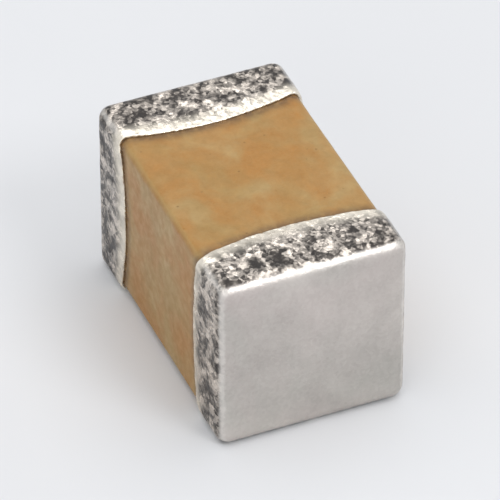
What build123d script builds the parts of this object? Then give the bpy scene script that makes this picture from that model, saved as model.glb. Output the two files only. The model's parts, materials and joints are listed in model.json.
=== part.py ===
from build123d import *
from math import atan, degrees, sqrt
import os

# Multilayer ceramic chip capacitor, 2.00 x 1.25 x 1.25 mm, all sizes in millimetres.
# The length runs along X, the width along Y, and the chip lies on Z = 0 with its middle
# over the origin. A stack of thin nickel electrodes is fired into one ceramic block, and
# every second electrode comes out at the same end. Each end is dipped in copper paste,
# then plated with nickel and with tin, so three shells nest in each other there.

# Outside size, over the tin
chip_length = 2.00
chip_width = 1.25
chip_height = 1.25

# Termination shells, from the ceramic outwards
copper_on_end = 0.035
copper_on_sides = 0.015
nickel_thickness = 0.004
tin_thickness = 0.006

# Where the copper band stops on the four sides: the dip line is part of a sphere, so the
# band reaches furthest along the middle of each side and less far along the edges
band_depth = 0.42
dip_line_radius = 2.5

# The paste thins out by this drop over the last stretch before the dip line
band_taper_drop = 0.011
band_taper_length = 0.10

# Tumbled edges of the fired ceramic
ceramic_edge_radius = 0.06

# Electrode stack
electrode_count = 20
electrode_thickness = 0.003
cover_thickness = 0.123
side_margin = 0.12
end_margin = 0.15

# Sizes that follow from the ones above
plating_thickness = nickel_thickness + tin_thickness
ceramic_length = chip_length - 2 * (copper_on_end + plating_thickness)
ceramic_width = chip_width - 2 * (copper_on_sides + plating_thickness)
ceramic_height = chip_height - 2 * (copper_on_sides + plating_thickness)
middle_height = chip_height / 2
electrode_length = ceramic_length - end_margin
electrode_width = ceramic_width - 2 * side_margin
stack_height = ceramic_height - 2 * cover_thickness
electrode_pitch = (stack_height - electrode_thickness) / (electrode_count - 1)
stack_bottom = middle_height - stack_height / 2
band_edge = chip_length / 2 - plating_thickness - band_depth
band_taper_start = band_edge + band_taper_length
band_taper_angle = degrees(atan(band_taper_drop / band_taper_length))
dip_line_sag = dip_line_radius - sqrt(dip_line_radius**2 - (ceramic_width / 2) ** 2)
dip_sphere_centre = band_edge - dip_line_sag + dip_line_radius
taper_plane = Plane(origin=(band_taper_start, 0, middle_height), x_dir=(0, 1, 0), z_dir=(-1, 0, 0))

os.makedirs("parts", exist_ok=True)


def rounded_block(growth_on_ends, growth_on_sides):
    """The ceramic's outer form, grown by a thickness on its ends and on its sides."""
    with BuildPart() as block:
        with Locations((0, 0, middle_height)):
            Box(
                ceramic_length + 2 * growth_on_ends,
                ceramic_width + 2 * growth_on_sides,
                ceramic_height + 2 * growth_on_sides,
            )
        fillet(block.edges(), ceramic_edge_radius + growth_on_sides)
    return block.part


def dipped_end(plating):
    """The right end's outer form as far as the dip line: the copper's own when plating is
    0, or that form grown outwards by the plating that lies on it."""
    growth_on_sides = copper_on_sides + plating
    with BuildPart() as dipped:
        add(rounded_block(copper_on_end + plating, growth_on_sides))
        split(bisect_by=Plane.YZ.offset(band_taper_start), keep=Keep.TOP)
        with BuildSketch(taper_plane):
            RectangleRounded(
                ceramic_width + 2 * growth_on_sides,
                ceramic_height + 2 * growth_on_sides,
                ceramic_edge_radius + growth_on_sides,
            )
        extrude(amount=band_taper_length + dip_line_sag, taper=band_taper_angle)
        with Locations((dip_sphere_centre, 0, middle_height)):
            Sphere(dip_line_radius + plating, mode=Mode.INTERSECT)
    return dipped.part


def export_pair(right_piece, name):
    """Writes a piece of the right end, and its mirror image as the left end's piece."""
    right_piece.label = f"{name}_right"
    export_step(right_piece, f"parts/{name}_right.step")
    with BuildPart() as left_piece:
        mirror(right_piece, about=Plane.YZ)
    left_piece.part.label = f"{name}_left"
    export_step(left_piece.part, f"parts/{name}_left.step")


# Ceramic block as it is fired, before the electrodes take their room in it
sintered_block = rounded_block(0, 0)

# Inner electrodes: printed nickel plates, alternately flush with the right and the left end
inner_electrodes = []
for index in range(electrode_count):
    leads_to = 1 if index % 2 == 0 else -1
    with BuildPart() as inner_electrode:
        with BuildSketch(Plane.XY.offset(stack_bottom + index * electrode_pitch)):
            with Locations((leads_to * end_margin / 2, 0)):
                Rectangle(electrode_length, electrode_width)
        extrude(amount=electrode_thickness)
    inner_electrode.part.label = f"inner_electrode_{index + 1:02d}"
    export_step(inner_electrode.part, f"parts/{inner_electrode.part.label}.step")
    inner_electrodes.append(inner_electrode.part)

# Ceramic body: dielectric, covers and margins in one fired piece, with a slot for each plate
with BuildPart() as ceramic_body:
    add(sintered_block)
    add(inner_electrodes, mode=Mode.SUBTRACT)
ceramic_body.part.label = "ceramic_body"
export_step(ceramic_body.part, "parts/ceramic_body.step")

# Terminations: base copper, nickel barrier and tin finish, each a shell round the last
copper_form = dipped_end(0)
nickel_form = dipped_end(nickel_thickness)
tin_form = dipped_end(plating_thickness)

with BuildPart() as copper_base:
    add(copper_form)
    add(sintered_block, mode=Mode.SUBTRACT)
export_pair(copper_base.part, "copper_base")

with BuildPart() as nickel_barrier:
    add(nickel_form)
    add([copper_form, sintered_block], mode=Mode.SUBTRACT)
export_pair(nickel_barrier.part, "nickel_barrier")

with BuildPart() as tin_finish:
    add(tin_form)
    add([nickel_form, sintered_block], mode=Mode.SUBTRACT)
export_pair(tin_finish.part, "tin_finish")
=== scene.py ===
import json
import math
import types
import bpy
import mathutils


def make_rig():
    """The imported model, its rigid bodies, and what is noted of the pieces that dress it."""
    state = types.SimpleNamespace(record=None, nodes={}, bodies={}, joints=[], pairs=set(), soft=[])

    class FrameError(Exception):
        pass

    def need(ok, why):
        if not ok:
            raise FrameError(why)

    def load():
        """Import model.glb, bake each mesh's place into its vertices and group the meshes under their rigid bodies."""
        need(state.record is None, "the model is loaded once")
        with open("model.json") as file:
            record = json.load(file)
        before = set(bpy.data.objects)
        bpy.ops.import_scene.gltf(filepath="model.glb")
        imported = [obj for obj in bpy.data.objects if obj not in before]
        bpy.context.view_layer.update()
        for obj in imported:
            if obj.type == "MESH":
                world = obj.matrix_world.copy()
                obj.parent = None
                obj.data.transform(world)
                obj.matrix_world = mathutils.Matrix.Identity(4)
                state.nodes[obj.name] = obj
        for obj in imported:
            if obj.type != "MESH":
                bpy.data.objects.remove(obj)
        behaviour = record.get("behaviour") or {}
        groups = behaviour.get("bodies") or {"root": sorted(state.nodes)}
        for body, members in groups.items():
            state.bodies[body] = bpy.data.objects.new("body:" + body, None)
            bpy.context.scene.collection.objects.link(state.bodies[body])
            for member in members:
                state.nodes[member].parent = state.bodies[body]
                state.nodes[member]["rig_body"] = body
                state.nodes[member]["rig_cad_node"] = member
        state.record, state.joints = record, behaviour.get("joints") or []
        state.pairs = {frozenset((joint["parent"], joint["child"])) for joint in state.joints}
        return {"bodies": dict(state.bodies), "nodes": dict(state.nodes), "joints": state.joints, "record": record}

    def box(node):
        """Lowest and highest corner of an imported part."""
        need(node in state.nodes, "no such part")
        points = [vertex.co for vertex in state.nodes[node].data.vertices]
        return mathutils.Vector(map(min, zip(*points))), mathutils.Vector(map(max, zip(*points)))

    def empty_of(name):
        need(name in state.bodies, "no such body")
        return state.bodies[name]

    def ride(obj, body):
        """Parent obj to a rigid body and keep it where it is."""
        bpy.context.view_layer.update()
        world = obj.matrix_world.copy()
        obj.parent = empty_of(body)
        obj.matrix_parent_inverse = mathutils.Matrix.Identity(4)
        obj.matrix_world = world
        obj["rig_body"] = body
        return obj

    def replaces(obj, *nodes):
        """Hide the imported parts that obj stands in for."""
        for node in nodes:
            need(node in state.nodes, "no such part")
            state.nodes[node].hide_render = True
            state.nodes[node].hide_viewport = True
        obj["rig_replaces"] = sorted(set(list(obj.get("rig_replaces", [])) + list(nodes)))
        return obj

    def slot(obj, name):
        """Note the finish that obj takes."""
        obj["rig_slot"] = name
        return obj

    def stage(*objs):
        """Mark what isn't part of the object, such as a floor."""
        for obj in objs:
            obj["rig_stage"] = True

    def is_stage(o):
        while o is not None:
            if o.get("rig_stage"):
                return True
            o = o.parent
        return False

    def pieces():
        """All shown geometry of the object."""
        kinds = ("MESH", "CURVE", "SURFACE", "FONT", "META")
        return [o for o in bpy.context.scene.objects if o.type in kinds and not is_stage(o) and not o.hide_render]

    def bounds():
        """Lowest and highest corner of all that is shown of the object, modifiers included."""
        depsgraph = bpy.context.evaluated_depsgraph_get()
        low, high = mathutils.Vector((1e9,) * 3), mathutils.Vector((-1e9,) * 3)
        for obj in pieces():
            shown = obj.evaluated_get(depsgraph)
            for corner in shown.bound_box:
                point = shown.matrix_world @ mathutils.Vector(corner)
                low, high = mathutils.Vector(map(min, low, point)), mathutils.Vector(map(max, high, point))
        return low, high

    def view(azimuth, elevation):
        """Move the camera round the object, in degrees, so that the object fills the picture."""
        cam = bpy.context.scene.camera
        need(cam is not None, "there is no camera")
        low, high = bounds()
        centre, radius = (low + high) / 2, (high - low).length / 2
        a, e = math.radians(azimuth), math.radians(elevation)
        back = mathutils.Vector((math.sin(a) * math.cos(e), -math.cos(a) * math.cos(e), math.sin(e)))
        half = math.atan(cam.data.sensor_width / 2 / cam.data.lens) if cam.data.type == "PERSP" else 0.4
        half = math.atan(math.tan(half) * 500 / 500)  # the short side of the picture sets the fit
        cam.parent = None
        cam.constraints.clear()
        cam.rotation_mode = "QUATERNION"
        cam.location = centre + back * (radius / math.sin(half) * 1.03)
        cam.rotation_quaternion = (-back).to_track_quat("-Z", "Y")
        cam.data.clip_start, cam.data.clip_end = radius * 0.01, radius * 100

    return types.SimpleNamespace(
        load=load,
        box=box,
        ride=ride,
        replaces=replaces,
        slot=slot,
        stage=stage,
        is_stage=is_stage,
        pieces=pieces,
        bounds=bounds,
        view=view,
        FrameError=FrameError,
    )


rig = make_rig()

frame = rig.load()

import json
from math import pi, sqrt

import bmesh
import bpy
from bpy.props import FloatProperty, FloatVectorProperty, IntProperty, PointerProperty
from bpy.types import Operator, Panel, PropertyGroup
from mathutils import Vector, noise

# Multilayer ceramic chip capacitor, 2.00 x 1.25 x 1.25 mm, dressed over its solids.
# X runs along the length, Y across the width, and the chip lies on Z = 0. Meshes are shaped
# in millimetres, because a bevel loses fine detail in metres, and are brought to metres when
# they are finished.

bl_info = {
    "name": "Ceramic Chip Capacitor",
    "version": (1, 0, 0),
    "blender": (4, 5, 0),
    "location": "View3D > Sidebar > Chip Capacitor",
    "description": "Makes a multilayer ceramic chip capacitor with tin-plated ends, and a stage for it",
    "category": "Object",
}

MM = 0.001

cad_low, cad_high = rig.bounds()
ceramic_low, ceramic_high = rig.box("ceramic_body")


# Sizes and colours that a user may change

def length_property(name, description, default):
    return FloatProperty(
        name=name, description=description, default=default, min=0.0, unit="LENGTH", precision=6
    )


def colour_property(name, description, default):
    """A colour as a screen shows it, turned into the linear values that shaders take."""
    linear = [c / 12.92 if c <= 0.04045 else ((c + 0.055) / 1.055) ** 2.4 for c in default]
    return FloatVectorProperty(
        name=name, description=description, default=linear, min=0.0, max=1.0, size=3,
        subtype="COLOR",
    )


class ChipSizes(PropertyGroup):
    """Sizes of the ceramic block and of the plated ends."""

    ceramic_edge_radius: length_property(
        "Ceramic edge radius", "Rounding of the tumbled edges of the ceramic block", 0.00006
    )
    plating_edge_radius: length_property(
        "Plating edge radius", "Rounding of the ends over copper, nickel and tin", 0.000085
    )
    tin_thickness: length_property(
        "Tin thickness", "Thickness of the tin on the nickel", 0.000006
    )
    dip_line_radius: length_property(
        "Dip line radius", "Radius of the sphere on which the tin stops", 0.00251
    )
    dip_line_centre: length_property(
        "Dip line centre", "Distance of that sphere's middle from the chip's middle", 0.00299693
    )
    dip_line_wander: length_property(
        "Dip line wander", "How far the tin's rim strays towards the chip's middle", 0.000016
    )
    taper_start: length_property(
        "Taper start", "Distance from the chip's middle at which the band begins to thin out",
        0.00067,
    )
    taper_drop: length_property(
        "Taper drop", "How much lower the band is after one taper length", 0.000011
    )
    taper_length: length_property(
        "Taper length", "Length over which the band gets lower by the drop", 0.0001
    )
    rim_lip_radius: length_property(
        "Rim lip radius", "Rounding of the tin where it turns down to the ceramic", 0.000006
    )
    end_crown: length_property(
        "End crown", "How far the middle of each end bulges", 0.000005
    )
    band_relief: length_property(
        "Band relief", "Height of the uneven tin on the bands", 0.0000022
    )
    end_relief: length_property(
        "End relief", "Height of the uneven tin on the end faces", 0.0000007
    )
    ceramic_relief: length_property(
        "Ceramic relief", "Depth of the fired ceramic's unevenness", 0.000003
    )
    margin_drop: length_property(
        "Margin drop", "How much lower the ceramic is over its side margins", 0.000003
    )
    electrode_width: length_property(
        "Electrode width", "Width of each inner electrode", 0.00096
    )
    mesh_spacing: length_property(
        "Mesh spacing", "Distance between the rows of a finished mesh", 0.000018
    )
    edge_segments: IntProperty(
        name="Edge segments", description="Faces across each rounded edge", default=8, min=2
    )


class ChipColours(PropertyGroup):
    """Colours of the ceramic and of the metals."""

    ceramic: colour_property("Ceramic", "Ochre of the fired ceramic", (0.655, 0.51, 0.262))
    ceramic_pale: colour_property(
        "Pale ceramic", "Lighter patches of the ceramic", (0.72, 0.597, 0.38)
    )
    ceramic_amber: colour_property(
        "Amber ceramic", "Warmer patches of the ceramic", (0.692, 0.47, 0.17)
    )
    ceramic_dark: colour_property(
        "Dark ceramic", "Painted shade in the pores, and the discolouring and painted contact shadow beside each band", (0.40, 0.29, 0.16)
    )
    tin: colour_property("Tin", "Matte tin on the end faces", (0.85, 0.81, 0.79))
    tin_cool: colour_property(
        "Cool tin", "Faintly greener patches of the end faces", (0.80, 0.79, 0.76)
    )
    # Bright tin for edges that are rubbed, and for a painted highlight along them
    tin_rubbed_and_highlight: colour_property("Bright tin", "Edges rubbed bright, with a painted highlight along them", (0.94, 0.925, 0.90))
    tin_crystal: colour_property("Tin crystals", "Crystals that shine on the bands", (0.87, 0.83, 0.785))
    # Painted highlight colour for the thin tin at the rim beside the ceramic
    tin_rim_highlight: colour_property("Tin rim", "Painted highlight on the thin smooth tin beside the ceramic", (0.97, 0.935, 0.87))
    # Dark tin for the haze and the crystal borders, and also a painted dark reflection on crystals of the bands
    tin_dark: colour_property("Dark tin", "Dark tin of the haze and crystal borders, and a painted dark reflection on crystals of the bands", (0.265, 0.25, 0.24))
    nickel: colour_property("Nickel", "Plated nickel", (0.70, 0.68, 0.63))
    fired_nickel: colour_property("Fired nickel", "Nickel of the inner electrodes", (0.60, 0.58, 0.54))
    copper: colour_property("Copper", "Fired copper", (0.78, 0.47, 0.33))
    copper_glass: colour_property(
        "Copper glass", "Glassy specks that rise to the copper's surface", (0.42, 0.25, 0.20)
    )


class StageSettings(PropertyGroup):
    """Floor, light and camera."""

    floor: colour_property("Floor", "Pale floor", (0.90, 0.905, 0.915))
    surround: colour_property("Surround", "What shows beyond the floor", (0.93, 0.935, 0.945))
    ambient: FloatProperty(
        name="Ambient light", description="Light from all around", default=0.45, min=0.0
    )
    overhead: FloatProperty(
        name="Overhead light", description="Radiance of the wide soft light overhead",
        default=1.28, min=0.0,
    )
    near_side: FloatProperty(
        name="Near side light", description="Radiance of the soft light beside the camera",
        default=1.1, min=0.0,
    )
    edge_light: FloatProperty(
        name="Edge light", description="Radiance of the light that draws the near upper edge",
        default=6.0, min=0.0,
    )
    camera_azimuth: FloatProperty(
        name="Camera azimuth", description="Degrees round the chip from its long side", default=67.0
    )
    camera_elevation: FloatProperty(
        name="Camera elevation", description="Degrees above the floor", default=39.5
    )
    lens: FloatProperty(
        name="Lens", description="Focal length in millimetres on a 36 mm sensor", default=400.0,
        min=1.0,
    )
    camera_room: FloatProperty(
        name="Room round the chip", description="Camera distance over the closest that fits",
        default=1.12, min=0.5,
    )


# Node trees

def add_node(tree, kind, **settings):
    """A new node, with its properties set by name and its inputs set through a dict."""
    inputs = settings.pop("inputs", {})
    node = tree.nodes.new(kind)
    for name, value in settings.items():
        setattr(node, name, value)
    for name, value in inputs.items():
        if isinstance(value, bpy.types.NodeSocket):
            tree.links.new(value, node.inputs[name])
        else:
            node.inputs[name].default_value = value
    return node


def calculate(tree, operation, *values, clamp=False):
    """A Math node's result."""
    return add_node(
        tree, "ShaderNodeMath", operation=operation, use_clamp=clamp,
        inputs=dict(enumerate(values)),
    ).outputs[0]


def combine(tree, operation, *values):
    """A Vector Math node's result."""
    inputs = {"Scale" if operation == "SCALE" and i == 1 else i: v for i, v in enumerate(values)}
    node = add_node(tree, "ShaderNodeVectorMath", operation=operation, inputs=inputs)
    return node.outputs["Value" if operation in ("LENGTH", "DOT_PRODUCT") else "Vector"]


def blend_colours(tree, share, first, second, mode="MIX"):
    """Two colours mixed by a share, where 0 is the first."""
    node = add_node(tree, "ShaderNodeMix", data_type="RGBA", blend_type=mode)
    for socket, value in zip([node.inputs[i] for i in (0, 6, 7)], (share, first, second)):
        if isinstance(value, bpy.types.NodeSocket):
            tree.links.new(value, socket)
        else:
            socket.default_value = value
    return node.outputs[2]


def between(tree, value, low, high, to_low=0.0, to_high=1.0, smooth=True):
    """A value that moves between two levels as another passes between two others."""
    return add_node(
        tree, "ShaderNodeMapRange", interpolation_type="SMOOTHSTEP" if smooth else "LINEAR",
        inputs={0: value, 1: low, 2: high, 3: to_low, 4: to_high},
    ).outputs[0]


def start_group(name, inputs, outputs):
    """A node group with named sockets, given as (name, kind, default)."""
    tree = bpy.data.node_groups.new(name, "ShaderNodeTree")
    for title, kind, default in inputs:
        socket = tree.interface.new_socket(title, in_out="INPUT", socket_type=kind)
        if default is not None:
            socket.default_value = default
    for title, kind in outputs:
        tree.interface.new_socket(title, in_out="OUTPUT", socket_type=kind)
    given = tree.nodes.new("NodeGroupInput")
    result = tree.nodes.new("NodeGroupOutput")
    return tree, given.outputs, result.inputs


def place_group(tree, name, **values):
    """The outputs of a node group placed in a material, with its inputs set by name."""
    node = add_node(tree, "ShaderNodeGroup", node_tree=bpy.data.node_groups[name])
    for title, value in values.items():
        socket = node.inputs[title.replace("_", " ").capitalize()]
        if isinstance(value, bpy.types.NodeSocket):
            tree.links.new(value, socket)
        else:
            socket.default_value = value
    return node.outputs


def make_patches_group():
    """Soft uneven patches, as firing leaves in ceramic and plating in metal."""
    tree, given, result = start_group(
        "Uneven patches",
        [("Place", "NodeSocketVector", None), ("Per mm", "NodeSocketFloat", 4.0),
         ("Shift", "NodeSocketFloat", 0.0), ("Contrast", "NodeSocketFloat", 1.0)],
        [("Share", "NodeSocketFloat")],
    )
    shift = add_node(tree, "ShaderNodeCombineXYZ",
                     inputs={"X": given["Shift"], "Y": given["Shift"]}).outputs[0]
    cloud = add_node(
        tree, "ShaderNodeTexNoise",
        inputs={"Vector": combine(tree, "ADD", given["Place"], shift), "Scale": given["Per mm"],
                "Detail": 4.0, "Roughness": 0.55, "Distortion": 0.4},
    ).outputs["Fac"]
    spread = calculate(tree, "MULTIPLY", calculate(tree, "SUBTRACT", cloud, 0.5), given["Contrast"])
    tree.links.new(calculate(tree, "ADD", spread, 0.5, clamp=True), result["Share"])


def make_grain_group():
    """Fine grain: a mask for colour and gloss, and a height in metres for a bump."""
    tree, given, result = start_group(
        "Fine grain",
        [("Place", "NodeSocketVector", None), ("Per mm", "NodeSocketFloat", 40.0),
         ("Height", "NodeSocketFloat", 0.3e-6)],
        [("Grain", "NodeSocketFloat"), ("Relief", "NodeSocketFloat")],
    )
    coarse = add_node(
        tree, "ShaderNodeTexNoise",
        inputs={"Vector": given["Place"], "Scale": given["Per mm"], "Detail": 3.0,
                "Roughness": 0.65},
    ).outputs["Fac"]
    lumps = add_node(
        tree, "ShaderNodeTexVoronoi", feature="SMOOTH_F1",
        inputs={"Vector": given["Place"], "Scale": calculate(tree, "MULTIPLY", given["Per mm"], 1.7),
                "Smoothness": 0.6},
    ).outputs["Distance"]
    grain = between(tree, calculate(tree, "SUBTRACT", coarse, calculate(tree, "MULTIPLY", lumps, 0.25)),
                    0.15, 0.60)
    tree.links.new(grain, result["Grain"])
    tree.links.new(calculate(tree, "MULTIPLY", grain, given["Height"]), result["Relief"])


def make_crystals_group():
    """Metal crystals: each has a shade and a tilt of its own, between thin dark borders."""
    tree, given, result = start_group(
        "Plated crystals",
        [("Place", "NodeSocketVector", None), ("Per mm", "NodeSocketFloat", 20.0),
         ("Tilt", "NodeSocketFloat", 0.2)],
        [("Shade", "NodeSocketFloat"), ("Border", "NodeSocketFloat"), ("Normal", "NodeSocketVector")],
    )
    stray = add_node(
        tree, "ShaderNodeTexNoise",
        inputs={"Vector": given["Place"], "Scale": given["Per mm"], "Detail": 2.0},
    ).outputs["Color"]
    stray = combine(tree, "SCALE", combine(tree, "SUBTRACT", stray, (0.5, 0.5, 0.5)),
                    calculate(tree, "DIVIDE", 0.9, given["Per mm"]))
    place = combine(tree, "ADD", given["Place"], stray)
    cells = add_node(tree, "ShaderNodeTexVoronoi", feature="F1",
                     inputs={"Vector": place, "Scale": given["Per mm"]}).outputs
    rim = add_node(tree, "ShaderNodeTexVoronoi", feature="DISTANCE_TO_EDGE",
                   inputs={"Vector": place, "Scale": given["Per mm"]}).outputs["Distance"]
    shades = add_node(tree, "ShaderNodeSeparateColor", inputs={0: cells["Color"]}).outputs
    lean = combine(tree, "SCALE", combine(tree, "SUBTRACT", cells["Color"], (0.5, 0.5, 0.5)),
                   given["Tilt"])
    facing = add_node(tree, "ShaderNodeNewGeometry").outputs["Normal"]
    tree.links.new(shades[0], result["Shade"])
    tree.links.new(between(tree, rim, 0.0, 0.09, 1.0, 0.0), result["Border"])
    tree.links.new(combine(tree, "NORMALIZE", combine(tree, "ADD", facing, lean)), result["Normal"])


def make_dip_line_group():
    """How near a place on the four sides is to the bowed line where the tin stops. Inside is
    on the ceramic, and outside is on the tin."""
    tree, given, result = start_group(
        "Dip line",
        [("Place", "NodeSocketVector", None), ("Radius", "NodeSocketFloat", 2.51),
         ("Centre", "NodeSocketFloat", 2.997), ("Width", "NodeSocketFloat", 0.05)],
        [("Inside", "NodeSocketFloat"), ("Outside", "NodeSocketFloat")],
    )
    parts = add_node(tree, "ShaderNodeSeparateXYZ", inputs={0: given["Place"]}).outputs
    across = calculate(
        tree, "ADD", calculate(tree, "MULTIPLY", parts[1], parts[1]),
        calculate(tree, "MULTIPLY", parts[2], parts[2]),
    )
    reach = calculate(
        tree, "SQRT",
        calculate(tree, "SUBTRACT", calculate(tree, "MULTIPLY", given["Radius"], given["Radius"]), across),
    )
    line = calculate(tree, "SUBTRACT", given["Centre"], reach)
    past = calculate(tree, "SUBTRACT", calculate(tree, "ABSOLUTE", parts[0]), line)
    share = calculate(tree, "DIVIDE", past, given["Width"])
    tree.links.new(between(tree, share, -1.0, 0.0), result["Inside"])
    tree.links.new(between(tree, share, 0.0, 1.0, 1.0, 0.0), result["Outside"])


def make_rubbing_and_highlight_group():
    """Edges rubbed bright, and on the tin a painted highlight along them: the mesh's own edge_rounding attribute,
    broken up by patches.
    """
    tree, given, result = start_group(
        "Rubbed edges and highlight",
        [("Place", "NodeSocketVector", None), ("Amount", "NodeSocketFloat", 0.8)],
        [("Wear and highlight", "NodeSocketFloat")],
    )
    rounding = add_node(tree, "ShaderNodeAttribute", attribute_name="edge_rounding").outputs["Fac"]
    patches = add_node(
        tree, "ShaderNodeTexNoise",
        inputs={"Vector": given["Place"], "Scale": 13.0, "Detail": 4.0, "Roughness": 0.7},
    ).outputs["Fac"]
    broken = between(tree, calculate(tree, "ADD", rounding, calculate(tree, "MULTIPLY", patches, 1.3)),
                     0.95, 1.55)
    tree.links.new(calculate(tree, "MULTIPLY", broken, given["Amount"], clamp=True), result["Wear and highlight"])


def make_groups():
    if "Uneven patches" not in bpy.data.node_groups:
        make_patches_group()
        make_grain_group()
        make_crystals_group()
        make_dip_line_group()
        make_rubbing_and_highlight_group()


def start_material(name, middle_height):
    """A material with its Principled shader, and object coordinates in millimetres from the
    chip's middle."""
    make_groups()
    material = bpy.data.materials.new(name)
    material.use_nodes = True
    tree = material.node_tree
    tree.nodes.clear()
    shader = tree.nodes.new("ShaderNodeBsdfPrincipled")
    out = tree.nodes.new("ShaderNodeOutputMaterial")
    tree.links.new(shader.outputs[0], out.inputs[0])
    place = add_node(
        tree, "ShaderNodeMapping", vector_type="POINT",
        inputs={"Vector": add_node(tree, "ShaderNodeTexCoord").outputs["Object"],
                "Scale": (1000.0, 1000.0, 1000.0), "Location": (0.0, 0.0, -middle_height)},
    ).outputs[0]
    return material, tree, shader, place


def middle_height_mm():
    return (cad_low.z + cad_high.z) / 2 / MM


def rgba(colour):
    return (*colour, 1.0)


def fired_ceramic(colours, sizes):
    """Ochre ceramic: patches of three tones, fine grain, pores darkened with painted shade, a satin skin, and a thin
    darkening where each band stops that is partly a discolouring and partly a painted contact shadow."""
    material, tree, shader, place = start_material("fired_ceramic", middle_height_mm())
    wide = place_group(tree, "Uneven patches", place=place, per_mm=2.3, contrast=3.4)["Share"]
    warm = place_group(tree, "Uneven patches", place=place, per_mm=3.4, shift=7.3, contrast=3.6)["Share"]
    small = place_group(tree, "Uneven patches", place=place, per_mm=16.0, shift=3.1, contrast=2.2)["Share"]
    grain = place_group(tree, "Fine grain", place=place, per_mm=62.0, height=0.3e-6)
    line = place_group(
        tree, "Dip line", place=place, radius=sizes.dip_line_radius / MM,
        centre=sizes.dip_line_centre / MM, width=0.1,
    )
    edge_wear_and_highlight = place_group(tree, "Rubbed edges and highlight", place=place, amount=0.45)["Wear and highlight"]
    colour = blend_colours(tree, wide, rgba(colours.ceramic), rgba(colours.ceramic_pale))
    colour = blend_colours(
        tree, calculate(tree, "MULTIPLY", warm, 0.9), colour, rgba(colours.ceramic_amber)
    )
    colour = blend_colours(
        tree, calculate(tree, "MULTIPLY", small, 0.24), colour, rgba(colours.ceramic_dark)
    )
    pore_cells = add_node(
        tree, "ShaderNodeTexVoronoi", feature="F1", inputs={"Vector": place, "Scale": 21.0}
    ).outputs
    pore_pick = add_node(tree, "ShaderNodeSeparateColor", inputs={0: pore_cells["Color"]}).outputs[1]
    pores = calculate(
        tree, "MULTIPLY", between(tree, pore_cells["Distance"], 0.06, 0.24, 1.0, 0.0),
        between(tree, pore_pick, 0.78, 1.0),
    )
    # Painted shade: the pores are darkened toward dark ceramic where the bump dents them
    colour = blend_colours(
        tree, calculate(tree, "MULTIPLY", pores, 0.5), colour, rgba(colours.ceramic_dark)
    )
    colour = blend_colours(
        tree, calculate(tree, "MULTIPLY", grain["Grain"], 0.16), colour, rgba(colours.ceramic_pale)
    )
    # On the ceramic the same edge mask lightens the tumbled edges toward pale ceramic, as rubbing
    colour = blend_colours(tree, edge_wear_and_highlight, colour, rgba(colours.ceramic_pale))
    # Partly a fired discolouring and partly a painted contact shadow: the ceramic darkens beside each band's rim
    stain_and_painted_shadow = calculate(tree, "MULTIPLY", line["Inside"], between(tree, small, 0.1, 0.7, 0.6, 1.0))
    colour = blend_colours(tree, stain_and_painted_shadow, colour, rgba(colours.ceramic_dark))
    tree.links.new(colour, shader.inputs["Base Color"])
    gloss = calculate(
        tree, "ADD", between(tree, small, 0.0, 1.0, 0.34, 0.50), calculate(tree, "MULTIPLY", pores, 0.3)
    )
    tree.links.new(gloss, shader.inputs["Roughness"])
    depth = calculate(tree, "SUBTRACT", grain["Relief"], calculate(tree, "MULTIPLY", pores, 1.6e-6))
    depth = calculate(tree, "ADD", depth, calculate(tree, "MULTIPLY", small, 0.8e-6))
    bump = add_node(
        tree, "ShaderNodeBump", inputs={"Height": depth, "Strength": 1.0, "Distance": 1.0}
    ).outputs[0]
    tree.links.new(bump, shader.inputs["Normal"])
    shader.inputs["Specular IOR Level"].default_value = 0.5
    return material


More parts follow.
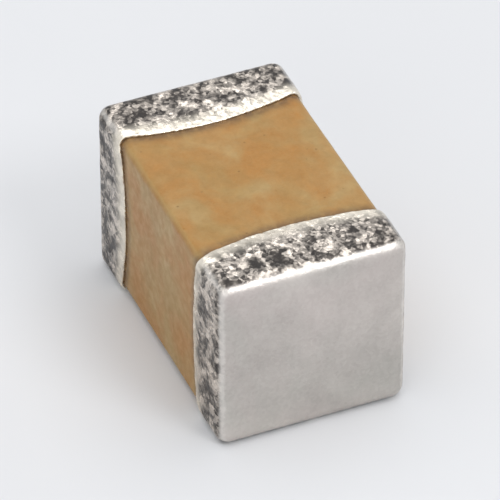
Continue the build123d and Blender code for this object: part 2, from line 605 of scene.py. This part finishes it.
def matte_tin(colours, sizes):
    """Plated tin: coarse crystals on the bands, some darkened as a painted dark reflection, a fine even matte on the
    end faces, edges rubbed bright and given a painted highlight, and a painted highlight on the rims beside the
    ceramic."""
    material, tree, shader, place = start_material("matte_tin", middle_height_mm())
    coarse = place_group(tree, "Plated crystals", place=place, per_mm=17.0, tilt=0.34)
    fine = place_group(tree, "Plated crystals", place=place, per_mm=46.0, tilt=0.42)
    lumps = place_group(tree, "Uneven patches", place=place, per_mm=8.5, contrast=3.0)["Share"]
    haze = place_group(tree, "Uneven patches", place=place, per_mm=1.6, shift=5.0, contrast=2.0)["Share"]
    cast = place_group(tree, "Uneven patches", place=place, per_mm=1.1, shift=11.0, contrast=3.0)["Share"]
    grain = place_group(tree, "Fine grain", place=place, per_mm=58.0, height=0.7e-6)
    edge_wear_and_highlight = place_group(tree, "Rubbed edges and highlight", place=place, amount=0.42)["Wear and highlight"]
    line = place_group(
        tree, "Dip line", place=place, radius=sizes.dip_line_radius / MM,
        centre=sizes.dip_line_centre / MM, width=0.12,
    )
    along = calculate(
        tree, "ABSOLUTE", add_node(tree, "ShaderNodeSeparateXYZ", inputs={0: place}).outputs[0]
    )
    on_end = between(tree, along, 0.945, 0.99)
    # The bands: lumps and two sizes of crystals make the speckle together, and its darker share is a painted dark
    # reflection
    speckle = calculate(tree, "ADD", calculate(tree, "MULTIPLY", coarse["Shade"], 0.28),
                        calculate(tree, "MULTIPLY", fine["Shade"], 0.30))
    speckle = calculate(tree, "ADD", speckle, calculate(tree, "MULTIPLY", lumps, 0.42))
    shine = between(tree, speckle, 0.26, 0.86)
    # Painted dark reflection: the darker share of the speckle takes the dark tin colour
    band = blend_colours(tree, shine, rgba(colours.tin_dark), rgba(colours.tin_crystal))
    band = blend_colours(
        tree, calculate(tree, "MULTIPLY", coarse["Border"], 0.25), band, rgba(colours.tin_dark)
    )
    # The end faces: nearly even, with a soft haze and fine grain
    end = blend_colours(tree, cast, rgba(colours.tin), rgba(colours.tin_cool))
    end = blend_colours(
        tree, between(tree, haze, 0.0, 1.0, 0.0, 0.28), end, rgba(colours.tin_dark)
    )
    end = blend_colours(
        tree, calculate(tree, "MULTIPLY", fine["Shade"], 0.12), end, rgba(colours.tin_rubbed_and_highlight)
    )
    colour = blend_colours(tree, on_end, band, end)
    # Partly rubbing and partly a painted highlight: the rounded edges are lightened toward bright tin
    colour = blend_colours(tree, edge_wear_and_highlight, colour, rgba(colours.tin_rubbed_and_highlight))
    # Painted highlight: the thin tin at the rim beside the ceramic is lightened toward a cream white, broken up by the
    # lumps
    rim = calculate(tree, "MULTIPLY", line["Outside"], between(tree, lumps, 0.0, 1.0, 0.75, 1.0))
    colour = blend_colours(tree, rim, colour, rgba(colours.tin_rim_highlight))
    bright = calculate(tree, "MAXIMUM", edge_wear_and_highlight, rim)
    tree.links.new(colour, shader.inputs["Base Color"])
    shader.inputs["Metallic"].default_value = 1.0
    rough = blend_colours(
        tree, on_end,
        blend_colours(tree, shine, (0.42, 0.42, 0.42, 1.0), (0.24, 0.24, 0.24, 1.0)),
        blend_colours(tree, grain["Grain"], (0.50, 0.50, 0.50, 1.0), (0.40, 0.40, 0.40, 1.0)),
    )
    rough = blend_colours(tree, bright, rough, (0.27, 0.27, 0.27, 1.0))
    tree.links.new(rough, shader.inputs["Roughness"])
    # Crystals stand tilted on lumps on the bands, and lie flatter in the fine grain of the ends
    facing = add_node(tree, "ShaderNodeNewGeometry").outputs["Normal"]
    tilted = combine(tree, "ADD", coarse["Normal"], fine["Normal"])
    flatter = combine(tree, "ADD", fine["Normal"], combine(tree, "SCALE", facing, 4.0))
    lie = combine(tree, "NORMALIZE", blend_colours(tree, on_end, tilted, flatter))
    swell = calculate(tree, "MULTIPLY", lumps, between(tree, on_end, 0.0, 1.0, 5.0e-6, 0.5e-6))
    bump = add_node(
        tree, "ShaderNodeBump",
        inputs={"Height": calculate(tree, "ADD", swell, grain["Relief"]), "Strength": 1.0,
                "Distance": 1.0, "Normal": lie},
    ).outputs[0]
    tree.links.new(bump, shader.inputs["Normal"])
    return material


def plated_nickel(colours):
    """Plated nickel: small even crystals with a satin gloss."""
    material, tree, shader, place = start_material("plated_nickel", middle_height_mm())
    crystals = place_group(tree, "Plated crystals", place=place, per_mm=70.0, tilt=0.16)
    grain = place_group(tree, "Fine grain", place=place, per_mm=90.0, height=0.2e-6)
    deep = rgba([c * 0.72 for c in colours.nickel])
    colour = blend_colours(tree, crystals["Shade"], rgba(colours.nickel), deep)
    tree.links.new(colour, shader.inputs["Base Color"])
    tree.links.new(between(tree, grain["Grain"], 0.0, 1.0, 0.40, 0.28), shader.inputs["Roughness"])
    bump = add_node(
        tree, "ShaderNodeBump",
        inputs={"Height": grain["Relief"], "Distance": 1.0, "Normal": crystals["Normal"]},
    ).outputs[0]
    tree.links.new(bump, shader.inputs["Normal"])
    shader.inputs["Metallic"].default_value = 1.0
    return material


def fired_nickel(colours):
    """Nickel of the inner electrodes: dull, with the small gaps that firing leaves."""
    material, tree, shader, place = start_material("fired_nickel", middle_height_mm())
    grain = place_group(tree, "Fine grain", place=place, per_mm=75.0, height=0.25e-6)
    patches = place_group(tree, "Uneven patches", place=place, per_mm=6.0, contrast=2.0)["Share"]
    deep = rgba([c * 0.5 for c in colours.fired_nickel])
    colour = blend_colours(tree, patches, rgba(colours.fired_nickel), deep)
    colour = blend_colours(
        tree, between(tree, grain["Grain"], 0.0, 0.25, 0.7, 0.0), colour, rgba(colours.ceramic_dark)
    )
    tree.links.new(colour, shader.inputs["Base Color"])
    tree.links.new(between(tree, grain["Grain"], 0.0, 1.0, 0.62, 0.45), shader.inputs["Roughness"])
    bump = add_node(
        tree, "ShaderNodeBump", inputs={"Height": grain["Relief"], "Distance": 1.0}
    ).outputs[0]
    tree.links.new(bump, shader.inputs["Normal"])
    shader.inputs["Metallic"].default_value = 1.0
    return material


def fired_copper(colours):
    """Fired copper paste: matte, with glassy specks from the frit."""
    material, tree, shader, place = start_material("fired_copper", middle_height_mm())
    grain = place_group(tree, "Fine grain", place=place, per_mm=48.0, height=0.8e-6)
    glass = place_group(tree, "Uneven patches", place=place, per_mm=26.0, contrast=3.5)["Share"]
    tones = place_group(tree, "Uneven patches", place=place, per_mm=5.0, shift=2.0, contrast=2.0)["Share"]
    deep = rgba([c * 0.65 for c in colours.copper])
    colour = blend_colours(tree, tones, rgba(colours.copper), deep)
    specks = between(tree, glass, 0.62, 0.80)
    colour = blend_colours(tree, specks, colour, rgba(colours.copper_glass))
    tree.links.new(colour, shader.inputs["Base Color"])
    tree.links.new(between(tree, specks, 0.0, 1.0, 0.52, 0.18), shader.inputs["Roughness"])
    tree.links.new(between(tree, specks, 0.0, 1.0, 1.0, 0.0), shader.inputs["Metallic"])
    bump = add_node(
        tree, "ShaderNodeBump", inputs={"Height": grain["Relief"], "Distance": 1.0}
    ).outputs[0]
    tree.links.new(bump, shader.inputs["Normal"])
    return material


# Shaping in millimetres

def round_block(bm, low, high, radius, segments):
    """A block between two corners, with all its edges rounded."""
    made = bmesh.ops.create_cube(bm, size=1.0)["verts"]
    bmesh.ops.scale(bm, vec=high - low, verts=made)
    bmesh.ops.translate(bm, vec=(low + high) / 2, verts=made)
    bmesh.ops.bevel(
        bm, geom=bm.edges[:], offset=radius, offset_type="OFFSET", segments=segments,
        profile=0.5, affect="EDGES", material=-1, clamp_overlap=True,
    )


def divide_along(bm, axis, spacing):
    """Cuts across every edge that runs along one axis, so that rows are a spacing apart."""
    by_length = {}
    for edge in bm.edges:
        run = edge.verts[1].co - edge.verts[0].co
        if run.length > 1.5 * spacing and abs(run[axis]) > 0.99999 * run.length:
            by_length.setdefault(round(run.length, 3), []).append(edge)
    for length, edges in by_length.items():
        bmesh.ops.subdivide_edges(
            bm, edges=edges, cuts=max(1, round(length / spacing) - 1), use_grid_fill=True
        )


def nearest_inside(place, inner):
    """The nearest point of the block that is left inside when the rounding is taken off."""
    return Vector(max(-h, min(h, c)) for c, h in zip(place, inner))


def edge_rounding(place, inner):
    """0 on a flat face and 1 at the middle of a rounded edge."""
    away = place - nearest_inside(place, inner)
    if away.length < 1e-9:
        return 0.0
    away.normalize()
    return min(1.0, (1.0 - max(abs(c) for c in away)) / 0.29)


def smooth_step(low, high, value):
    share = max(0.0, min(1.0, (value - low) / (high - low)))
    return share * share * (3.0 - 2.0 * share)


def finish_piece(bm, name, material, slot_name, node, middle, inner):
    """Marks the rounded edges, brings the mesh to metres and makes it a piece of the chip."""
    layer = bm.verts.layers.float.new("edge_rounding")
    for vert in bm.verts:
        vert[layer] = edge_rounding(vert.co - middle, inner)
    for face in bm.faces:
        face.smooth = True
    bmesh.ops.scale(bm, vec=(MM, MM, MM), verts=bm.verts[:])
    mesh = bpy.data.meshes.new(name)
    bm.to_mesh(mesh)
    bm.free()
    mesh.materials.append(material)
    piece = bpy.data.objects.new(name, mesh)
    bpy.context.scene.collection.objects.link(piece)
    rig.ride(piece, "root")
    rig.slot(piece, slot_name)
    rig.replaces(piece, node)
    return piece


def electrode_levels(leads_right):
    """The lowest and highest place of each inner electrode that comes out at one end."""
    levels = []
    for name in sorted(n for n in frame["nodes"] if n.startswith("inner_electrode_")):
        low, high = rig.box(name)
        if (low.x + high.x > 0) == leads_right:
            levels.append((low / MM, high / MM))
    if not levels:
        raise RuntimeError("the packed model has no inner electrodes at this end")
    return levels


def cut_faces(bm, faces, place, across):
    """Cuts some faces along a plane and leaves their neighbours whole."""
    geometry = {*faces}
    for face in faces:
        geometry.update(face.edges, face.verts)
    bmesh.ops.bisect_plane(
        bm, geom=list(geometry), dist=1e-6, plane_co=place, plane_no=across
    )


def open_slots(bm, side, sizes, end):
    """Opens one end face into a slot for each inner electrode that comes out there."""
    half_width = sizes.electrode_width / MM / 2

    def on_end(reach):
        return [
            f for f in bm.faces
            if abs(f.calc_center_median().x - side * end) < 1e-4 and f.normal.x * side > 0.99
            and all(abs(v.co.y) < reach + 1e-4 for v in f.verts)
        ]

    bmesh.ops.dissolve_faces(bm, faces=on_end(end))
    bm.normal_update()
    for edge in (-half_width, half_width):
        cut_faces(bm, on_end(end), (0, edge, 0), (0, 1, 0))
    levels = electrode_levels(side > 0)
    for low, high in levels:
        for height in (low.z, high.z):
            cut_faces(bm, on_end(half_width), (0, 0, height), (0, 0, 1))
    for low, high in levels:
        faces = [f for f in on_end(half_width) if low.z < f.calc_center_bounds().z < high.z]
        if len(faces) != 1:
            raise RuntimeError("an electrode's slot was not cut out of the end face")
        made = bmesh.ops.extrude_discrete_faces(bm, faces=faces)["faces"]
        bmesh.ops.translate(
            bm, vec=(-side * (high.x - low.x), 0, 0), verts=[v for f in made for v in f.verts]
        )


def shape_ceramic(sizes):
    """The fired block: tumbled edges, a faintly uneven skin that is lower over the side
    margins, and a slot for each inner electrode."""
    bm = bmesh.new()
    low, high = ceramic_low / MM, ceramic_high / MM
    radius, spacing = sizes.ceramic_edge_radius / MM, sizes.mesh_spacing / MM
    middle, half = (low + high) / 2, (high - low) / 2
    inner = half - Vector((radius, radius, radius))
    round_block(bm, low, high, radius, sizes.edge_segments)
    for axis in range(3):
        divide_along(bm, axis, spacing)
    bmesh.ops.recalc_face_normals(bm, faces=bm.faces[:])
    skin = bm.verts[:]
    for side in (1, -1):
        open_slots(bm, side, sizes, half.x)
    bm.normal_update()
    depth, margin_drop = sizes.ceramic_relief / MM, sizes.margin_drop / MM
    moves = []
    for vert in skin:
        if not vert.is_valid:
            continue
        place = vert.co - middle
        fade = 1.0 - smooth_step(0.44, 0.52, abs(place.x))
        if fade == 0.0:
            continue
        swell = noise.fractal(place * 3.0, 1.0, 2.0, 3) * 0.5 + 0.5
        dents = max(0.0, noise.noise(place * 14.0 + Vector((5, 1, 3))) - 0.25)
        drop = depth * (0.55 * max(0.0, min(1.0, swell)) + 0.6 * dents)
        if abs(vert.normal.z) > 0.9:
            drop += margin_drop * smooth_step(0.42, 0.54, abs(place.y))
        moves.append((vert, vert.normal * -drop * fade))
    for vert, move in moves:
        vert.co += move
    return bm, middle, inner


def shape_tin_cap(sizes, side):
    """The tin over one end: rounded outside, crowned end, bands that taper to a bowed and
    slightly straying rim, a rounded lip down to the ceramic, and a thin wall."""
    bm = bmesh.new()
    low, high = cad_low / MM, cad_high / MM
    radius, spacing = sizes.plating_edge_radius / MM, sizes.mesh_spacing / MM
    middle, half = (low + high) / 2, (high - low) / 2
    inner = half - Vector((radius, radius, radius))
    taper_start = sizes.taper_start / MM
    straight_cut = taper_start - 1.1 * sizes.taper_length / MM
    drop_rate = sizes.taper_drop / sizes.taper_length
    foot_radius = sizes.ceramic_edge_radius / MM
    sphere_radius, sphere_centre = sizes.dip_line_radius / MM, sizes.dip_line_centre / MM
    wander = sizes.dip_line_wander / MM

    round_block(bm, low, high, radius, sizes.edge_segments)
    for cut, clear in ((straight_cut, True), (taper_start, False)):
        bmesh.ops.bisect_plane(
            bm, geom=bm.verts[:] + bm.edges[:] + bm.faces[:], dist=1e-6,
            plane_co=(side * cut, 0, 0), plane_no=(side, 0, 0), clear_inner=clear,
        )
    for axis in range(3):
        divide_along(bm, axis, spacing)
    bmesh.ops.recalc_face_normals(bm, faces=bm.faces[:])
    end_faces = [f for f in bm.faces if f.calc_center_median().x * side > half.x - 1e-4]
    if not end_faces:
        raise RuntimeError("the tin cap has lost its end face")
    if end_faces[0].normal.x * side < 0:
        bmesh.ops.reverse_faces(bm, faces=bm.faces[:])

    # Each row past the taper's start moves to its share of the way to the bowed rim
    for vert in bm.verts:
        along = vert.co.x * side
        if along > taper_start + 1e-6:
            continue
        core = vert.co - middle
        core = Vector((core.x, max(-inner.y, min(inner.y, core.y)), max(-inner.z, min(inner.z, core.z))))
        outward = (vert.co - middle - core).normalized()
        flat = Vector((0.0, vert.co.y, vert.co.z - middle.z))
        stray = noise.fractal(flat * 4.0 + Vector((side * 9.0, 0, 0)), 1.0, 2.0, 3) * 0.5 + 0.5
        rim = sphere_centre - sqrt(sphere_radius**2 - flat.length_squared)
        rim -= wander * max(0.0, min(1.0, stray))
        share = (taper_start - along) / (taper_start - straight_cut)
        along = taper_start - share * (taper_start - rim)
        lowered = radius - drop_rate * (taper_start - along)
        vert.co = middle + core + outward * lowered
        vert.co.x = side * along

    # The lip: the open rim is drawn in to the ceramic, and its corner is rounded
    rim_edges = [e for e in bm.edges if e.is_boundary]
    drawn = bmesh.ops.extrude_edge_only(bm, edges=rim_edges)["geom"]
    foot = [v for v in drawn if isinstance(v, bmesh.types.BMVert)]
    for vert in foot:
        core = vert.co - middle
        core = Vector((core.x, max(-inner.y, min(inner.y, core.y)), max(-inner.z, min(inner.z, core.z))))
        outward = (vert.co - middle - core).normalized()
        vert.co = middle + core + outward * foot_radius
        vert.co.x -= side * 0.002
    bmesh.ops.bevel(
        bm, geom=rim_edges, offset=sizes.rim_lip_radius / MM, offset_type="OFFSET", segments=3,
        profile=0.5, affect="EDGES", material=-1, clamp_overlap=True,
    )
    bm.normal_update()

    # The wall, and then the relief on its outside alone
    outside = bm.verts[:]
    bmesh.ops.solidify(bm, geom=bm.faces[:], thickness=sizes.tin_thickness / MM)
    bm.normal_update()
    band_relief, end_relief = sizes.band_relief / MM, sizes.end_relief / MM
    crown = sizes.end_crown / MM
    moves = []
    for vert in outside:
        place = vert.co - middle
        along = place.x * side
        on_end = smooth_step(half.x - radius, half.x, along)
        lumps = noise.noise(place * 11.0 + Vector((side * 3.0, 0, 0)))
        lumps += 0.6 * noise.noise(place * 26.0 + Vector((0, side * 5.0, 0)))
        off_foot = smooth_step(foot_radius + 0.004, foot_radius + 0.012,
                               (place - nearest_inside(place, Vector((9, inner.y, inner.z)))).length)
        if on_end > 0.0:
            off_foot = 1.0
        height = (band_relief + (end_relief - band_relief) * on_end) * lumps * off_foot
        bulge = 0.0
        if along > half.x - 1e-4:
            across = max(abs(place.y) / inner.y, abs(place.z) / inner.z)
            bulge = crown * (1.0 - smooth_step(0.0, 1.0, across))
        moves.append((vert, vert.normal * (height + bulge)))
    for vert, move in moves:
        vert.co += move
    return bm, middle, inner


def dress_nodes(names, material):
    """Gives CAD nodes a finished material, and leaves their meshes alone."""
    for name in names:
        if name not in frame["nodes"]:
            raise RuntimeError(f"the packed model has no node {name}")
        node = frame["nodes"][name]
        if not node.material_slots:
            raise RuntimeError(f"{name} has no material slot")
        for slot in node.material_slots:
            slot.material = material


class CHIP_OT_ceramic_body(Operator):
    """Makes the fired ceramic block with its slots"""

    bl_idname = "chip.ceramic_body"
    bl_label = "Ceramic body"

    def execute(self, context):
        sizes, colours = context.scene.chip_sizes, context.scene.chip_colours
        bm, middle, inner = shape_ceramic(sizes)
        finish_piece(bm, "fired_ceramic_block", fired_ceramic(colours, sizes), "ceramic",
                     "ceramic_body", middle, inner)
        return {"FINISHED"}


class CHIP_OT_tin_finish(Operator):
    """Makes the tin over both ends"""

    bl_idname = "chip.tin_finish"
    bl_label = "Tin finish"

    def execute(self, context):
        sizes, colours = context.scene.chip_sizes, context.scene.chip_colours
        tin = matte_tin(colours, sizes)
        for side, word in ((-1, "left"), (1, "right")):
            bm, middle, inner = shape_tin_cap(sizes, side)
            finish_piece(bm, f"tin_cap_{word}", tin, "plated_tin", f"tin_finish_{word}",
                         middle, inner)
        return {"FINISHED"}


class CHIP_OT_nickel_barriers(Operator):
    """Finishes the plated nickel under the tin"""

    bl_idname = "chip.nickel_barriers"
    bl_label = "Nickel barriers"

    def execute(self, context):
        dress_nodes(["nickel_barrier_left", "nickel_barrier_right"],
                    plated_nickel(context.scene.chip_colours))
        return {"FINISHED"}


class CHIP_OT_copper_bases(Operator):
    """Finishes the fired copper under the nickel"""

    bl_idname = "chip.copper_bases"
    bl_label = "Copper bases"

    def execute(self, context):
        dress_nodes(["copper_base_left", "copper_base_right"],
                    fired_copper(context.scene.chip_colours))
        return {"FINISHED"}


class CHIP_OT_inner_electrodes(Operator):
    """Finishes the nickel electrodes inside the ceramic"""

    bl_idname = "chip.inner_electrodes"
    bl_label = "Inner electrodes"

    def execute(self, context):
        names = sorted(n for n in frame["nodes"] if n.startswith("inner_electrode_"))
        dress_nodes(names, fired_nickel(context.scene.chip_colours))
        return {"FINISHED"}


def soft_light(name, place, aim, radius, radiance):
    """A round soft light that looks equally bright wherever it stands."""
    data = bpy.data.lights.new(name, "AREA")
    data.shape = "DISK"
    data.size = 2 * radius
    data.energy = radiance * pi * pi * radius**2
    light = bpy.data.objects.new(name, data)
    light.location = place
    light.rotation_mode = "QUATERNION"
    light.rotation_quaternion = (Vector(aim) - Vector(place)).to_track_quat("-Z", "Y")
    bpy.context.scene.collection.objects.link(light)
    return light


def pale_floor(settings):
    """A wide flat floor just under the chip, in faintly uneven matte paint."""
    bm = bmesh.new()
    bmesh.ops.create_circle(bm, cap_ends=True, segments=96, radius=0.09)
    bmesh.ops.translate(bm, vec=(0, 0, cad_low.z - 4e-6), verts=bm.verts[:])
    mesh = bpy.data.meshes.new("floor")
    bm.to_mesh(mesh)
    bm.free()
    floor = bpy.data.objects.new("floor", mesh)
    material, tree, shader, place = start_material("floor_paint", 0.0)
    patches = place_group(tree, "Uneven patches", place=place, per_mm=0.35, contrast=1.0)["Share"]
    dimmer = rgba([c * 0.97 for c in settings.floor])
    tree.links.new(blend_colours(tree, patches, rgba(settings.floor), dimmer),
                   shader.inputs["Base Color"])
    shader.inputs["Roughness"].default_value = 0.85
    mesh.materials.append(material)
    bpy.context.scene.collection.objects.link(floor)
    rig.stage(floor)


def surround(settings):
    """Light from all around, and a pale surround where the camera or a gloss sees past the
    floor."""
    world = bpy.data.worlds.new("surround")
    world.use_nodes = True
    tree = world.node_tree
    tree.nodes.clear()
    seen = add_node(tree, "ShaderNodeBackground",
                    inputs={"Color": rgba(settings.surround), "Strength": 1.0}).outputs[0]
    cast = add_node(tree, "ShaderNodeBackground",
                    inputs={"Color": rgba(settings.surround), "Strength": settings.ambient}).outputs[0]
    path = add_node(tree, "ShaderNodeLightPath").outputs
    direct = calculate(tree, "MAXIMUM", path["Is Camera Ray"], path["Is Glossy Ray"])
    direct = calculate(tree, "MAXIMUM", direct, path["Is Transmission Ray"])
    mixed = add_node(tree, "ShaderNodeMixShader", inputs={0: direct, 1: cast, 2: seen}).outputs[0]
    out = tree.nodes.new("ShaderNodeOutputWorld")
    tree.links.new(mixed, out.inputs[0])
    bpy.context.scene.world = world


class CHIP_OT_stage(Operator):
    """Lays the floor and sets the lights, the surround and the camera"""

    bl_idname = "chip.stage"
    bl_label = "Stage"

    def execute(self, context):
        settings, scene = context.scene.chip_stage, context.scene
        scene.view_settings.view_transform = "Standard"
        pale_floor(settings)
        surround(settings)
        middle = (cad_low + cad_high) / 2
        soft_light("overhead_light", (-0.004, 0.002, 0.060), middle, 0.048, settings.overhead)
        soft_light("near_side_light", (0.060, -0.060, 0.040), middle, 0.032, settings.near_side)
        soft_light("edge_light", (0.052, 0.025, 0.057), middle, 0.015, settings.edge_light)
        data = bpy.data.cameras.new("camera")
        data.lens = settings.lens
        camera = bpy.data.objects.new("camera", data)
        scene.collection.objects.link(camera)
        scene.camera = camera
        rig.view(settings.camera_azimuth, settings.camera_elevation)
        camera.location = middle + (camera.location - middle) * settings.camera_room
        return {"FINISHED"}


class CHIP_PT_panel(Panel):
    """Sizes, colours and the steps that make the chip"""

    bl_idname = "CHIP_PT_panel"
    bl_label = "Chip Capacitor"
    bl_space_type = "VIEW_3D"
    bl_region_type = "UI"
    bl_category = "Chip Capacitor"

    def draw(self, context):
        layout = self.layout
        for title, group in (("Sizes", context.scene.chip_sizes),
                             ("Colours", context.scene.chip_colours),
                             ("Stage", context.scene.chip_stage)):
            box = layout.box()
            box.label(text=title)
            for name in group.__annotations__:
                box.prop(group, name)
        for step in STEPS:
            layout.operator(step.bl_idname)


STEPS = (
    CHIP_OT_stage, CHIP_OT_ceramic_body, CHIP_OT_tin_finish, CHIP_OT_nickel_barriers,
    CHIP_OT_copper_bases, CHIP_OT_inner_electrodes,
)
GROUPS = (ChipSizes, ChipColours, StageSettings)


def register():
    for kind in (*GROUPS, *STEPS, CHIP_PT_panel):
        bpy.utils.register_class(kind)
    bpy.types.Scene.chip_sizes = PointerProperty(type=ChipSizes)
    bpy.types.Scene.chip_colours = PointerProperty(type=ChipColours)
    bpy.types.Scene.chip_stage = PointerProperty(type=StageSettings)


def unregister():
    del bpy.types.Scene.chip_stage
    del bpy.types.Scene.chip_colours
    del bpy.types.Scene.chip_sizes
    for kind in reversed((*GROUPS, *STEPS, CHIP_PT_panel)):
        bpy.utils.unregister_class(kind)


def main():
    """Registers the add-on, makes each piece and the stage, and writes both boxes."""
    register()
    bpy.ops.chip.ceramic_body()
    bpy.ops.chip.tin_finish()
    bpy.ops.chip.nickel_barriers()
    bpy.ops.chip.copper_bases()
    bpy.ops.chip.inner_electrodes()
    bpy.ops.chip.stage()
    low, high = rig.bounds()
    boxes = {"cad": [list(cad_low), list(cad_high)], "visual": [list(low), list(high)]}
    with open("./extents.json", "w") as out:
        json.dump(boxes, out, indent=1)


if __name__ == "__main__":
    main()
